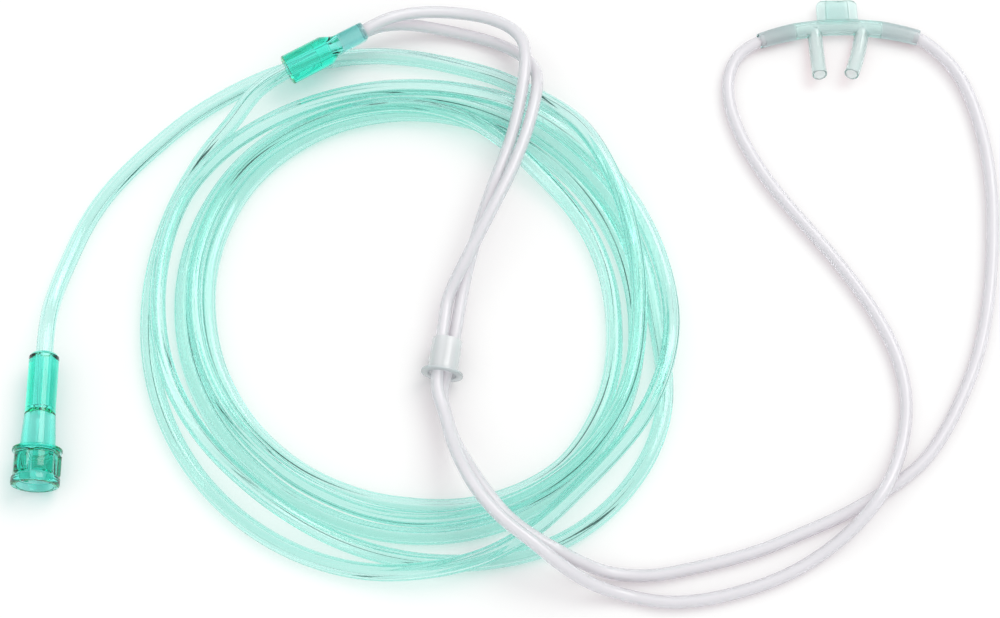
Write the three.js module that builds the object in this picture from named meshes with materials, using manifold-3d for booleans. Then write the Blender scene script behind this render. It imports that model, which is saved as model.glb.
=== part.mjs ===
// Nasal oxygen cannula, laid out flat: end connector, coiled supply tube, Y connector,
// two lariat tubes held by a slider, and the nosepiece with its prongs.
// Millimetres, +Z up, the table is z = 0, +X runs along the long side of the layout.

import * as THREE from "three";
import { mergeVertices } from "three/addons/utils/BufferGeometryUtils.js";
import Module from "manifold-3d";

const wasm = await Module();
wasm.setup();

// Driving dimensions

const fitGap = 0.3; // free space between a tube and the moulding it is bonded into
const roundSides = 40; // facets round a turned piece
const tubeSides = 8; // facets round a lariat tube
const supplySides = 10; // facets round the supply tube
const socketSides = 24; // facets round a lariat tube's socket
const coilSides = 96; // facets round the coil
const supplyStepShare = 2.5; // a supply tube's step, in its diameters
const lariatStepShare = 3; // a lariat tube's step, in its diameters
const cutOvershoot = 1; // how far a cut runs past the face that it opens

const supplyOuterDiameter = 5.0;
const lariatOuterDiameter = 3.7;

const coilCentre = [-26.5, -5.5];
const coilOuterRadius = 80.5;
const coilInnerRadius = 54;
const coilLayers = 2;

const connectorMouthCentre = [-134.1, -57.5];
const connectorLength = 40.4;
const connectorTubeEndRadius = 4.4;
const connectorEndChamfer = 0.5;
const connectorShoulderRadius = 5.2;
const connectorSocketDepth = 16.5;
const connectorBoreRadius = 2.2;
const connectorStepLength = 2; // of the narrow bore that the supply tube stops at
const connectorTaperRadius = 3.4;
const connectorCollarRadius = 7.3;
const connectorCollarThickness = 1.2;
const connectorCollarFillet = 0.4;
const connectorCupLength = 10.2;
const connectorCupRadius = 6.6;
const connectorRimRadius = 7.1;
const connectorRimLength = 2.2;
const connectorMouthRadius = 5.4;
const connectorCupDepth = 9.4;
const connectorCupTaper = 0.7; // how much narrower the cup's floor is, on the radius
const connectorLugCount = 4;
const connectorLugAngle = 48; // degrees that each lug covers
const connectorLugHeight = 0.4;
const connectorLugRoot = 0.6; // how deep a lug reaches into the cup's wall
const connectorLugOverlap = 0.2; // how far a lug reaches into the collar and the rim
const lugSegments = 8;

const yBackCentre = [-65.3, 74.6];
const yHeading = 30; // degrees from +X
const yRoll = 18; // degrees that the head's upper tube leans to the front
const yBarrelLength = 13.2;
const yTaperLength = 3.8;
const yLength = 26.6;
const yWall = 0.95;
const yBarrelRadius = 4.7;
const yEndChamfer = 0.3;
const ySocketDepth = 10;
const yChamberRadius = 1.6;
const yWallBeforeLumens = 1; // between the chamber's end and the lariat tubes
const yWayOverlap = 2.5; // how far each way to a lariat tube starts inside the chamber
const yWayShare = 0.62; // how far out each way lies, as a share of the lariat tube's offset
const yHeadSegments = 14;
const yLumenGap = 0.5; // between the two lariat tubes in the head
const yLariatDepth = 8.6;

const sliderFlangeCentre = [-17.1, -23.2];
const sliderLean = 8.5; // degrees from +Y towards +X
const sliderLength = 11;
const sliderBoreClearance = 0.2;
const sliderWall = 0.5;
const sliderTaper = 0.15; // how much narrower the upper end is, on the radius
const sliderFlangeRadius = 6.3;
const sliderFlangeThickness = 0.9;
const sliderFillet = 0.4;
const sliderPairGap = 0.4; // between the two lariat tubes inside it

const noseCentre = [105.8, 93.4];
const noseTurn = 1.3; // degrees, the right end lies further from the front
const noseArcRadius = 73;
const noseSpan = 49.8;
const noseEndRadius = 2.45;
const noseSeamRadius = 2.7;
const noseMiddleRadius = 2.5;
const noseSocketDepth = 11.5;
const noseBoreRadius = 1.5;
const noseBoreOverlap = 0.5; // how far the bore reaches into the sockets
const noseRings = 31;
const noseBoreRings = 15;
const noseSides = 24;
const prongRadius = 2.3;
const prongBoreRadius = 1.7;
const prongSpacing = 14.9;
const prongReach = 17.4;
const prongRise = 2.6; // how far the tip stands above the root
const prongLeanLeft = 0.5; // degrees that each prong leans towards the other
const prongLeanRight = 16;
const prongHoleStart = 0.02; // the hole along the prong's line, in shares of the reach
const prongHoleEnd = 1.06;
const prongRings = 9;
const prongSides = 20;
const tabWidth = 12.8;
const tabReach = 9.2;
const tabThickness = 1.4;
const tabCornerRadius = 2.1;
const tabBandWidth = 6.4;
const tabBandThickness = 2.4;
const tabBandSetback = 0.4; // how far the band stops short of the tab's edge
const tabSegments = 6;

// Worked out from the above

const supplyRadius = supplyOuterDiameter / 2;
const lariatRadius = lariatOuterDiameter / 2;
const coilHeight = coilLayers * supplyOuterDiameter + fitGap;
const noseHeight = noseSeamRadius; // its axis above the table
const yHeadHalfHeight = lariatOuterDiameter + yLumenGap / 2 + yWall;
const yHeadHalfWidth = lariatRadius + yWall;
const yHeight = supplyOuterDiameter + fitGap + yHeadHalfHeight; // its axis, with the supply tube below
const yLumenOffset = (lariatOuterDiameter + yLumenGap) / 2;
const sliderPairRadius = (lariatOuterDiameter + sliderPairGap) / 2;
const sliderBoreRadius = sliderPairRadius + lariatRadius + sliderBoreClearance;
const degree = Math.PI / 180;

// Materials

const plastic = (colour, roughness, opacity) =>
  new THREE.MeshStandardMaterial({ color: colour, roughness, metalness: 0, transparent: true, opacity });
const supplyPvc = plastic(0xb4efe0, 0.25, 0.6);
const lariatPvc = plastic(0xe8e9ec, 0.35, 0.75);
const fittingPvc = plastic(0x62e2cf, 0.2, 0.7);
const nosePvc = plastic(0xbfe9e2, 0.35, 0.75);
const sliderPvc = plastic(0xe0e4e6, 0.4, 0.75);

// Solid helpers

function solidOf(geometry) {
  const bare = new THREE.BufferGeometry();
  bare.setAttribute("position", geometry.getAttribute("position").clone());
  bare.setIndex(geometry.index ? geometry.index.clone() : null);
  const merged = mergeVertices(bare, 1e-4);
  const mesh = new wasm.Mesh({
    numProp: 3,
    vertProperties: merged.attributes.position.array,
    triVerts: new Uint32Array(merged.index.array),
  });
  return new wasm.Manifold(mesh);
}

function geometryOf(solid) {
  const mesh = solid.getMesh();
  const geometry = new THREE.BufferGeometry();
  const positions = new Float32Array(mesh.numVert * 3);
  for (let i = 0; i < mesh.numVert; i++) {
    const start = i * mesh.numProp;
    positions.set(mesh.vertProperties.subarray(start, start + 3), i * 3);
  }
  geometry.setAttribute("position", new THREE.BufferAttribute(positions, 3));
  geometry.setIndex(new THREE.BufferAttribute(mesh.triVerts, 1));
  geometry.computeVertexNormals();
  return geometry;
}

// A turned solid along +Y from [radius, height] points that start and end on the axis.
function turned(profile, sides = roundSides) {
  return new THREE.LatheGeometry(profile.map(([radius, y]) => new THREE.Vector2(radius, y)), sides);
}

// A straight rod of a given radius between two heights on the Y axis.
function rod(radius, low, high, sides = roundSides) {
  return turned([[0, low], [radius, low], [radius, high], [0, high]], sides);
}

function circleShape(radius, sides) {
  const shape = new THREE.Shape();
  for (let i = 0; i < sides; i++) {
    const angle = (i / sides) * Math.PI * 2;
    const point = [radius * Math.cos(angle), radius * Math.sin(angle)];
    if (i === 0) shape.moveTo(...point);
    else shape.lineTo(...point);
  }
  shape.closePath();
  return shape;
}

function tubeAlong(points, radius, sides, stepLength) {
  const path = new THREE.CatmullRomCurve3(points.map((p) => new THREE.Vector3(...p)));
  const steps = Math.round(path.getLength() / stepLength);
  return new THREE.ExtrudeGeometry(circleShape(radius, sides), { steps, extrudePath: path });
}

// A closed tube whose radius changes along a path: rings of vertices joined by quads, with flat ends.
function sweptBody(centres, radii, sides) {
  const path = new THREE.CatmullRomCurve3(centres);
  const frames = path.computeFrenetFrames(centres.length - 1, false);
  const positions = [];
  const index = [];
  centres.forEach((centre, ring) => {
    for (let side = 0; side < sides; side++) {
      const angle = (side / sides) * Math.PI * 2;
      const offset = frames.normals[ring].clone().multiplyScalar(Math.cos(angle) * radii[ring]);
      offset.addScaledVector(frames.binormals[ring], Math.sin(angle) * radii[ring]);
      positions.push(...centre.clone().add(offset).toArray());
    }
  });
  const last = centres.length - 1;
  const startCentre = positions.length / 3;
  positions.push(...centres[0].toArray(), ...centres[last].toArray());
  for (let side = 0; side < sides; side++) {
    const next = (side + 1) % sides;
    for (let ring = 0; ring < last; ring++) {
      const a = ring * sides + side;
      const b = ring * sides + next;
      index.push(a, b, a + sides, b, b + sides, a + sides);
    }
    index.push(startCentre, next, side);
    index.push(startCentre + 1, last * sides + side, last * sides + next);
  }
  const geometry = new THREE.BufferGeometry();
  geometry.setAttribute("position", new THREE.Float32BufferAttribute(positions, 3));
  geometry.setIndex(index);
  return geometry;
}

// End connector: its own axis is +Y, tube end at y = 0, mouth at y = connectorLength.

function endConnector() {
  const collarFront = connectorLength - connectorCupLength;
  const collarBack = collarFront - connectorCollarThickness;
  const rimBack = connectorLength - connectorRimLength;
  const cupFloor = connectorLength - connectorCupDepth;
  const outside = turned([
    [0, 0],
    [connectorTubeEndRadius - connectorEndChamfer, 0],
    [connectorTubeEndRadius, connectorEndChamfer],
    [connectorTubeEndRadius, connectorSocketDepth],
    [connectorShoulderRadius, collarBack - connectorCollarFillet],
    [connectorShoulderRadius + connectorCollarFillet, collarBack],
    [connectorCollarRadius, collarBack],
    [connectorCollarRadius, collarFront],
    [connectorCupRadius, collarFront],
    [connectorCupRadius, rimBack],
    [connectorRimRadius, rimBack],
    [connectorRimRadius, connectorLength],
    [0, connectorLength],
  ]);
  let solid = solidOf(outside);
  for (let i = 0; i < connectorLugCount; i++) {
    const angle = (i + 0.5) * (360 / connectorLugCount) * degree;
    solid = solid.add(solidOf(lug(angle, collarFront - connectorLugOverlap, rimBack + connectorLugOverlap)));
  }
  const inside = turned([
    [0, -cutOvershoot],
    [supplyRadius + fitGap, -cutOvershoot],
    [supplyRadius + fitGap, connectorSocketDepth + fitGap],
    [connectorBoreRadius, connectorSocketDepth + fitGap],
    [connectorBoreRadius, connectorSocketDepth + connectorStepLength],
    [connectorTaperRadius, cupFloor],
    [connectorMouthRadius - connectorCupTaper, cupFloor],
    [connectorMouthRadius, connectorLength],
    [connectorMouthRadius, connectorLength + cutOvershoot],
    [0, connectorLength + cutOvershoot],
  ]);
  return solid.subtract(solidOf(inside));
}

// A raised pad on the cup's wall: a sector of a ring, carried along +Y.
function lug(middle, low, high) {
  const half = (connectorLugAngle / 2) * degree;
  const inner = connectorCupRadius - connectorLugRoot;
  const outer = connectorCupRadius + connectorLugHeight;
  const shape = new THREE.Shape();
  shape.absarc(0, 0, outer, middle - half, middle + half, false);
  shape.absarc(0, 0, inner, middle + half, middle - half, true);
  shape.closePath();
  const geometry = new THREE.ExtrudeGeometry(shape, {
    depth: high - low,
    bevelEnabled: false,
    curveSegments: lugSegments,
  });
  geometry.rotateX(-Math.PI / 2);
  geometry.translate(0, low, 0);
  return geometry;
}

// Y connector: its own axis is +Y, back face at y = 0. The two lariat sockets lie one above the other.

function stadiumShape(halfWidth, halfHeight) {
  const straight = halfHeight - halfWidth;
  const shape = new THREE.Shape();
  shape.absarc(0, straight, halfWidth, 0, Math.PI, false);
  shape.absarc(0, -straight, halfWidth, Math.PI, Math.PI * 2, false);
  shape.closePath();
  return shape;
}

function yConnector() {
  const taperEnd = yBarrelLength + yTaperLength;
  const barrel = solidOf(turned([
    [0, 0],
    [yBarrelRadius - yEndChamfer, 0],
    [yBarrelRadius, yEndChamfer],
    [yBarrelRadius, yBarrelLength],
    [yHeadHalfWidth, taperEnd],
    [0, taperEnd],
  ]));
  const head = new THREE.ExtrudeGeometry(stadiumShape(yHeadHalfWidth, yHeadHalfHeight), {
    depth: yLength - yBarrelLength,
    bevelEnabled: false,
    curveSegments: yHeadSegments,
  });
  head.rotateX(-Math.PI / 2);
  head.translate(0, yBarrelLength, 0);
  const lumenEnd = yLength - yLariatDepth;
  const chamberEnd = lumenEnd - yWallBeforeLumens;
  let solid = barrel.add(solidOf(head));
  solid = solid.subtract(solidOf(rod(supplyRadius + fitGap, -cutOvershoot, ySocketDepth + fitGap)));
  solid = solid.subtract(solidOf(rod(yChamberRadius, ySocketDepth, chamberEnd)));
  for (const side of [1, -1]) {
    const socket = rod(lariatRadius + fitGap, lumenEnd - fitGap, yLength + cutOvershoot, socketSides);
    socket.translate(0, 0, side * yLumenOffset);
    const way = rod(yChamberRadius, chamberEnd - yWayOverlap, lumenEnd, socketSides);
    way.translate(0, 0, side * yLumenOffset * yWayShare);
    solid = solid.subtract(solidOf(socket)).subtract(solidOf(way));
  }
  return solid;
}

// Slider: its own axis is +Y, flange end at y = 0.

function slider() {
  const flangeEndRadius = sliderBoreRadius + sliderWall;
  const outside = turned([
    [0, 0],
    [sliderFlangeRadius, 0],
    [sliderFlangeRadius, sliderFlangeThickness],
    [flangeEndRadius + sliderFillet, sliderFlangeThickness],
    [flangeEndRadius, sliderFlangeThickness + sliderFillet],
    [flangeEndRadius - sliderTaper, sliderLength],
    [0, sliderLength],
  ]);
  const inside = rod(sliderBoreRadius, -cutOvershoot, sliderLength + cutOvershoot);
  return solidOf(outside).subtract(solidOf(inside));
}

// Nosepiece: an arched tube along X with its ends towards -Y, two prongs and a tab.

function noseArcPoint(x) {
  const drop = noseArcRadius - Math.sqrt(noseArcRadius ** 2 - x ** 2);
  return new THREE.Vector3(x, -drop, 0);
}

function noseArc(from, to, count) {
  return Array.from({ length: count }, (_, i) => noseArcPoint(from + ((to - from) * i) / (count - 1)));
}

function noseRadiusAt(x) {
  const seam = noseSpan / 2 - noseSocketDepth;
  const away = Math.abs(x);
  if (away < seam) return THREE.MathUtils.lerp(noseMiddleRadius, noseSeamRadius, (away / seam) ** 2);
  return THREE.MathUtils.lerp(noseSeamRadius, noseEndRadius, (away - seam) / noseSocketDepth);
}

// A prong's middle line: straight out by the reach, leaning sideways and rising ever more towards its tip.
function prongCentres(side, from, to) {
  const lean = Math.tan((side < 0 ? prongLeanLeft : prongLeanRight) * degree) * prongReach;
  const root = noseArcPoint((side * prongSpacing) / 2);
  return Array.from({ length: prongRings }, (_, i) => {
    const t = from + ((to - from) * i) / (prongRings - 1);
    const sideways = (-side * lean * (t + t * t)) / 2;
    return new THREE.Vector3(root.x + sideways, root.y - prongReach * t, prongRise * t * t);
  });
}

function roundedTab(width, reach, thickness) {
  const half = width / 2;
  const r = tabCornerRadius;
  const shape = new THREE.Shape();
  shape.moveTo(-half, 0);
  shape.lineTo(half, 0);
  shape.lineTo(half, reach - r);
  shape.absarc(half - r, reach - r, r, 0, Math.PI / 2, false);
  shape.lineTo(-half + r, reach);
  shape.absarc(-half + r, reach - r, r, Math.PI / 2, Math.PI, false);
  shape.closePath();
  const geometry = new THREE.ExtrudeGeometry(shape, {
    depth: thickness,
    bevelEnabled: false,
    curveSegments: tabSegments,
  });
  geometry.translate(0, 0, -thickness / 2);
  return geometry;
}

function nosepiece() {
  const half = noseSpan / 2;
  const seam = half - noseSocketDepth;
  const arc = noseArc(-half, half, noseRings);
  let solid = solidOf(sweptBody(arc, arc.map((p) => noseRadiusAt(p.x)), noseSides));
  for (const side of [-1, 1]) {
    const prong = prongCentres(side, 0, 1);
    solid = solid.add(solidOf(sweptBody(prong, prong.map(() => prongRadius), prongSides)));
  }
  solid = solid.add(solidOf(roundedTab(tabWidth, tabReach, tabThickness)));
  const bandReach = tabReach - tabBandSetback;
  const band = new THREE.BoxGeometry(tabBandWidth, bandReach, tabBandThickness);
  band.translate(0, bandReach / 2, 0);
  solid = solid.add(solidOf(band));
  const bore = noseArc(-seam - noseBoreOverlap, seam + noseBoreOverlap, noseBoreRings);
  solid = solid.subtract(solidOf(sweptBody(bore, bore.map(() => noseBoreRadius), prongSides)));
  for (const side of [-1, 1]) {
    const socket = noseArc(side * seam, side * (half + cutOvershoot), prongRings);
    solid = solid.subtract(solidOf(sweptBody(socket, socket.map(() => lariatRadius + fitGap), prongSides)));
    const hole = prongCentres(side, prongHoleStart, prongHoleEnd);
    solid = solid.subtract(solidOf(sweptBody(hole, hole.map(() => prongBoreRadius), prongSides)));
  }
  return solid;
}

// Places in the layout

const layout = new THREE.Group();

// A place in the layout: rolled about its own Y axis, then turned about the vertical.
function heading(centre, angle, height, roll = 0) {
  const group = new THREE.Group();
  group.position.set(centre[0], centre[1], height);
  group.rotation.set(0, roll, angle, "ZYX");
  return group;
}

const connectorPlace = heading(
  [connectorMouthCentre[0], connectorMouthCentre[1] + connectorLength],
  Math.PI,
  connectorCollarRadius,
);
const yPlace = heading(yBackCentre, (yHeading - 90) * degree, yHeight, yRoll * degree);
const sliderPlace = heading(sliderFlangeCentre, -sliderLean * degree, sliderFlangeRadius);
const nosePlace = heading(noseCentre, noseTurn * degree, noseHeight);

function layoutPoint(place, x, y, z) {
  place.updateMatrixWorld(true);
  return new THREE.Vector3(x, y, z).applyMatrix4(place.matrixWorld).toArray();
}

// The two lariat tubes turn about each other inside the slider; angle is that of the left tube.
function pairPoint(side, along, angle) {
  const across = -side * sliderPairRadius * Math.cos(angle * degree);
  const up = side * sliderPairRadius * Math.sin(angle * degree);
  return layoutPoint(sliderPlace, across, along, up);
}

// Along the slider from above its upper end to below its flange: the distance and the left tube's angle.
const pairSteps = [
  [24, 20],
  [17, 25],
  [11, 33],
  [5, 44],
  [0, 56],
  [-5, 72],
];

// A lariat tube's way into its socket of the nosepiece, from the mouth to just short of the seam.
function noseSocketPoints(side) {
  const seam = noseSpan / 2 - noseSocketDepth + fitGap;
  return [1, 0.66, 0.33, 0].map((share) => {
    const point = noseArcPoint(side * (seam + share * (noseSocketDepth - fitGap)));
    return layoutPoint(nosePlace, point.x, point.y, 0);
  });
}

// Routes of the tubes, chosen by hand on the layout

const inletRoute = [
  layoutPoint(connectorPlace, 0, connectorSocketDepth, 0),
  layoutPoint(connectorPlace, 0, connectorSocketDepth / 2, 0),
  layoutPoint(connectorPlace, 0, 0, 0),
  [-134.1, -10.6, 7],
  [-134, -4.4, 5.6],
  [-133.3, 1.8, 4],
  [-131.9, 8, 2.9],
  [-129.8, 14.2, 2.6],
  [-125.8, 25, 2.6],
  [-120.4, 35, 2.6],
  [-113, 44.5, 2.6],
  [-105, 52.8, 2.6],
  [-97.5, 60, 2.6],
  [-90, 65.8, 2.6],
  [-77.5, 73.4, 2.6],
  [-65.3, 78.8, 2.6],
  [-52, 82.2, 2.6],
  [-38, 83.4, 2.6],
  [-25, 82.2, 2.6],
  [-12.5, 79.4, 2.6],
  [-0.5, 75.8, 2.6],
  [11.5, 69.4, 2.6],
];

const outletRoute = [
  [-91.5, 47.2, 2.8],
  [-87.5, 52.5, 4.3],
  [-81.4, 59, 7],
  [-75.6, 66.8, 9.6],
  [-69.8, 71.8, yHeight],
  layoutPoint(yPlace, 0, 0, 0),
  layoutPoint(yPlace, 0, ySocketDepth / 2, 0),
  layoutPoint(yPlace, 0, ySocketDepth, 0),
];

const leftRoute = [
  layoutPoint(yPlace, 0, yLength - yLariatDepth, -yLumenOffset),
  layoutPoint(yPlace, 0, yLength - yLariatDepth / 2, -yLumenOffset),
  layoutPoint(yPlace, 0, yLength, -yLumenOffset),
  [-37.8, 90.9, 7.7],
  [-29, 92.9, 5.4],
  [-20.5, 92.6, 3.4],
  [-12.5, 91.4, 2.2],
  [-4.5, 89.2, 2.2],
  [3, 85.6, 3.2],
  [8.4, 80.6, 5.6],
  [11, 74.6, 9.4],
  [11.4, 68.6, 12.6],
  [9.8, 58.5, 14.2],
  [7, 48.5, 14.6],
  [3, 38, 14.6],
  [-1.5, 28.5, 14.2],
  [-6, 19.5, 13],
  [-10.6, 10.5, 10.8],
  ...pairSteps.map(([along, angle]) => pairPoint(1, along, angle)),
  [-16.2, -35.4, 8.8],
  [-14, -44.5, 12],
  [-10.6, -54, 16.1],
  [-5.6, -62.8, 17.3],
  [1.2, -70.4, 17.3],
  [9, -76.4, 16.6],
  [17, -82.2, 13.4],
  [25.6, -86, 7],
  [35, -88.2, 2.4],
  [47, -90.4, 2.2],
  [58, -89.8, 2.2],
  [70, -87, 2.2],
  [81, -83, 2.2],
  [90.5, -77.8, 2.4],
  [99.5, -71.2, 4],
  [106.5, -64.4, 6.2],
  [111.8, -57, 6.2],
  [115.6, -49, 4.2],
  [118.2, -41, 2.4],
  [119.6, -31.5, 2.2],
  [119.2, -23, 2.2],
  [116.8, -13, 2.2],
  [112.4, -3, 2.2],
  [106.6, 7, 2.2],
  [100, 16.6, 2.2],
  [92.4, 26.6, 2.2],
  [84.6, 37, 2.2],
  [78.4, 47, 2.2],
  [73.8, 57, 2.2],
  [71, 67, 2.2],
  [71, 76, 2.2],
  [74.2, 83.6, 2.4],
  ...noseSocketPoints(-1),
];

const rightRoute = [
  layoutPoint(yPlace, 0, yLength - yLariatDepth, yLumenOffset),
  layoutPoint(yPlace, 0, yLength - yLariatDepth / 2, yLumenOffset),
  layoutPoint(yPlace, 0, yLength, yLumenOffset),
  [-35, 91.6, 11.6],
  [-27.5, 94.4, 10],
  [-19.5, 95.6, 8.6],
  [-11.5, 95.6, 7.4],
  [-3.5, 94, 7.4],
  [3, 90.2, 8.8],
  [7, 84.4, 11.2],
  [7.8, 77.5, 13],
  [7, 68.5, 13],
  [5.2, 58, 12.8],
  [2.4, 47.5, 12.6],
  [-1.4, 37, 12.4],
  [-4.6, 28, 10.2],
  [-7.4, 19, 8],
  [-9.8, 10, 6.4],
  ...pairSteps.map(([along, angle]) => pairPoint(-1, along, angle)),
  [-15.6, -35.4, 4.4],
  [-13.2, -43.5, 6.8],
  [-9.8, -51, 11.4],
  [-4.4, -60, 13.2],
  [2.2, -68.2, 13.2],
  [9.6, -74, 13.2],
  [16.4, -77.8, 12],
  [23.2, -80.2, 7.6],
  [30.2, -81.8, 3.2],
  [36.5, -82.6, 2.2],
  [45, -82.5, 2.2],
  [54, -80.8, 2.2],
  [65, -78.2, 2.2],
  [76, -74.8, 2.2],
  [87, -70.2, 2.2],
  [97, -65.8, 2.2],
  [106, -61, 2.2],
  [115, -55.4, 2.2],
  [123.6, -48.4, 2.2],
  [130.4, -39.4, 2.2],
  [136.4, -28.2, 2.2],
  [141.4, -16.6, 2.2],
  [145, -4, 2.2],
  [147.6, 10, 2.2],
  [149.2, 25, 2.2],
  [149.8, 40, 2.2],
  [148.6, 55, 2.2],
  [145.6, 69, 2.2],
  [140.6, 80, 2.4],
  ...noseSocketPoints(1),
];

// The parts in their places

const root = new THREE.Group();

function addPiece(place, name, geometry, material) {
  const mesh = new THREE.Mesh(geometry, material);
  mesh.name = name;
  place.add(mesh);
  if (place !== layout) layout.add(place);
}

root.add(layout);

addPiece(connectorPlace, "end_connector", geometryOf(endConnector()), fittingPvc);
addPiece(yPlace, "y_connector", geometryOf(yConnector()), fittingPvc);
addPiece(sliderPlace, "slider", geometryOf(slider()), sliderPvc);
addPiece(nosePlace, "nosepiece", geometryOf(nosepiece()), nosePvc);

const coil = turned([
  [coilInnerRadius, 0],
  [coilOuterRadius, 0],
  [coilOuterRadius, coilHeight],
  [coilInnerRadius, coilHeight],
  [coilInnerRadius, 0],
], coilSides);
coil.rotateX(Math.PI / 2);
coil.translate(coilCentre[0], coilCentre[1], 0);
addPiece(layout, "supply_tube_coil", coil, supplyPvc);

const supplyStep = supplyStepShare * supplyOuterDiameter;
const lariatStep = lariatStepShare * lariatOuterDiameter;
const supplyTube = (route) => tubeAlong(route, supplyRadius, supplySides, supplyStep);
const lariatTube = (route) => tubeAlong(route, lariatRadius, tubeSides, lariatStep);
addPiece(layout, "supply_tube_inlet", supplyTube(inletRoute), supplyPvc);
addPiece(layout, "supply_tube_outlet", supplyTube(outletRoute), supplyPvc);
addPiece(layout, "lariat_tube_left", lariatTube(leftRoute), lariatPvc);
addPiece(layout, "lariat_tube_right", lariatTube(rightRoute), lariatPvc);

// The origin is on the table, under the middle of the fittings that a user handles.
root.updateMatrixWorld(true);
const ownBox = new THREE.Box3();
for (const name of ["nosepiece", "slider", "y_connector"]) {
  ownBox.expandByObject(layout.getObjectByName(name), true);
}
const ownCentre = ownBox.getCenter(new THREE.Vector3());
layout.position.set(-ownCentre.x, -ownCentre.y, 0);
root.updateMatrixWorld(true);

export default root;
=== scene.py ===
import math
import bpy
import numpy as np
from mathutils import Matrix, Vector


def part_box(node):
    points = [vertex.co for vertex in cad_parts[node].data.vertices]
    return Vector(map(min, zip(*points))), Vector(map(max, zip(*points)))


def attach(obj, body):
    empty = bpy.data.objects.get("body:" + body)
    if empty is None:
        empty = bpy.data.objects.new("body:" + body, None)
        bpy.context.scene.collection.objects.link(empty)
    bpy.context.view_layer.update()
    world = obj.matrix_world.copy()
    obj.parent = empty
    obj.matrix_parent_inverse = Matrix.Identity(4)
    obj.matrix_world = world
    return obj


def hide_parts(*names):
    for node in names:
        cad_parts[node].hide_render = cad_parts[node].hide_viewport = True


# A nasal oxygen cannula laid out on a white table: end connector, coiled supply tube, Y connector,
# two lariat tubes with their slider, and the nosepiece with two prongs and a tab.

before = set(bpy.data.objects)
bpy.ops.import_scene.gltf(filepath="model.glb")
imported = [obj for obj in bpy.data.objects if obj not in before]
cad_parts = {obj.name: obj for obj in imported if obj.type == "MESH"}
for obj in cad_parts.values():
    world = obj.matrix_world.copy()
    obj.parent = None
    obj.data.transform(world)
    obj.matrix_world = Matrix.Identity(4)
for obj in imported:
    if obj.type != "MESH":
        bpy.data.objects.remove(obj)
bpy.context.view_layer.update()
mm = 0.001
print("frame loaded:", len(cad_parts), "nodes")

# The layout is drawn about its own origin. The frame's origin lies elsewhere, so the coil tells the shift.
coilCentre = np.array([-0.0265, -0.0055])
coilLow, coilHigh = (np.array(corner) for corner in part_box("supply_tube_coil"))
layoutShift = np.append((coilLow + coilHigh)[:2] / 2 - coilCentre, 0.0)


# Camera

view = {"lens": 85, "sensor": 36, "distance": 0.708, "elevation": 69}


def makeCamera(view):
    # The eye sits at distance d from the layout's origin, d cos(e) to the front and d sin(e) up, and looks
    # down by e.
    tilt = math.radians(view["elevation"])
    data = bpy.data.cameras.new("photoCamera")
    data.lens = view["lens"]
    data.sensor_width = view["sensor"]
    camera = bpy.data.objects.new("photoCamera", data)
    out = view["distance"]
    camera.location = layoutShift + np.array([0, -out * math.cos(tilt), out * math.sin(tilt)])
    camera.rotation_euler = (math.pi / 2 - tilt, 0, 0)
    bpy.context.collection.objects.link(camera)
    bpy.context.scene.camera = camera
    return camera


makeCamera(view)
print("camera placed")


# Lines in space

def evened(points, step):
    # The polyline read off at equal lengths: position as a function of arc length, by linear interpolation.
    length = np.concatenate([[0], np.cumsum(np.linalg.norm(np.diff(points, axis=0), axis=1))])
    count = max(2, int(round(length[-1] / step)) + 1)
    wanted = np.linspace(0, length[-1], count)
    return np.stack([np.interp(wanted, length, points[:, axis]) for axis in range(3)], axis=1)


def curveThrough(points, step, fine=24):
    # Catmull-Rom with knots spaced by the square root of each chord, by the pyramid of linear blends
    # a = lerp(p), b = lerp(a), c = lerp(b), then evened out.
    p = np.asarray(points, float)
    p = np.vstack([2 * p[:1] - p[1:2], p, 2 * p[-1:] - p[-2:-1]])
    knots = np.concatenate([[0], np.cumsum(np.sqrt(np.linalg.norm(np.diff(p, axis=0), axis=1)))])
    spans = len(p) - 3
    p0, p1, p2, p3 = (p[k:k + spans, None] for k in range(4))
    t0, t1, t2, t3 = (knots[k:k + spans, None, None] for k in range(4))
    t = t1 + (t2 - t1) * np.linspace(0, 1, fine, endpoint=False)[None, :, None]
    a1 = ((t1 - t) * p0 + (t - t0) * p1) / (t1 - t0)
    a2 = ((t2 - t) * p1 + (t - t1) * p2) / (t2 - t1)
    a3 = ((t3 - t) * p2 + (t - t2) * p3) / (t3 - t2)
    b1 = ((t2 - t) * a1 + (t - t0) * a2) / (t2 - t0)
    b2 = ((t3 - t) * a2 + (t - t1) * a3) / (t3 - t1)
    c = ((t2 - t) * b1 + (t - t1) * b2) / (t2 - t1)
    return evened(np.vstack([c.reshape(-1, 3), p[-2:-1]]), step)


def softened(values, reach):
    # Each row becomes the Hann-weighted mean of its neighbours within reach rows. The line is carried on past
    # its ends by point reflection, so that the ends themselves stay.
    weights = np.hanning(2 * reach + 3)[1:-1]
    weights /= weights.sum()
    before = 2 * values[:1] - values[reach:0:-1]
    after = 2 * values[-1:] - values[-2:-reach - 2:-1]
    padded = np.concatenate([before, values, after])
    return np.stack([np.convolve(padded[:, k], weights, "valid") for k in range(values.shape[1])], axis=1)


def spot(at, height, turn, roll=0):
    # A place in the layout: where its own origin lies, and the rows that its own x, y and z become, rolled
    # about y and then turned about the vertical.
    c, s = math.cos(math.radians(roll)), math.sin(math.radians(roll))
    rolled = np.array([[c, 0, -s], [0, 1, 0], [s, 0, c]])
    c, s = math.cos(math.radians(turn)), math.sin(math.radians(turn))
    turned = np.array([[c, s, 0], [-s, c, 0], [0, 0, 1]])
    return {"at": np.array([at[0], at[1], height]) + layoutShift, "axes": rolled @ turned}


def placed(points, place):
    # Own coordinates times the place's axes, then moved to its origin.
    return np.asarray(points, float) @ place["axes"] + place["at"]


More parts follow.
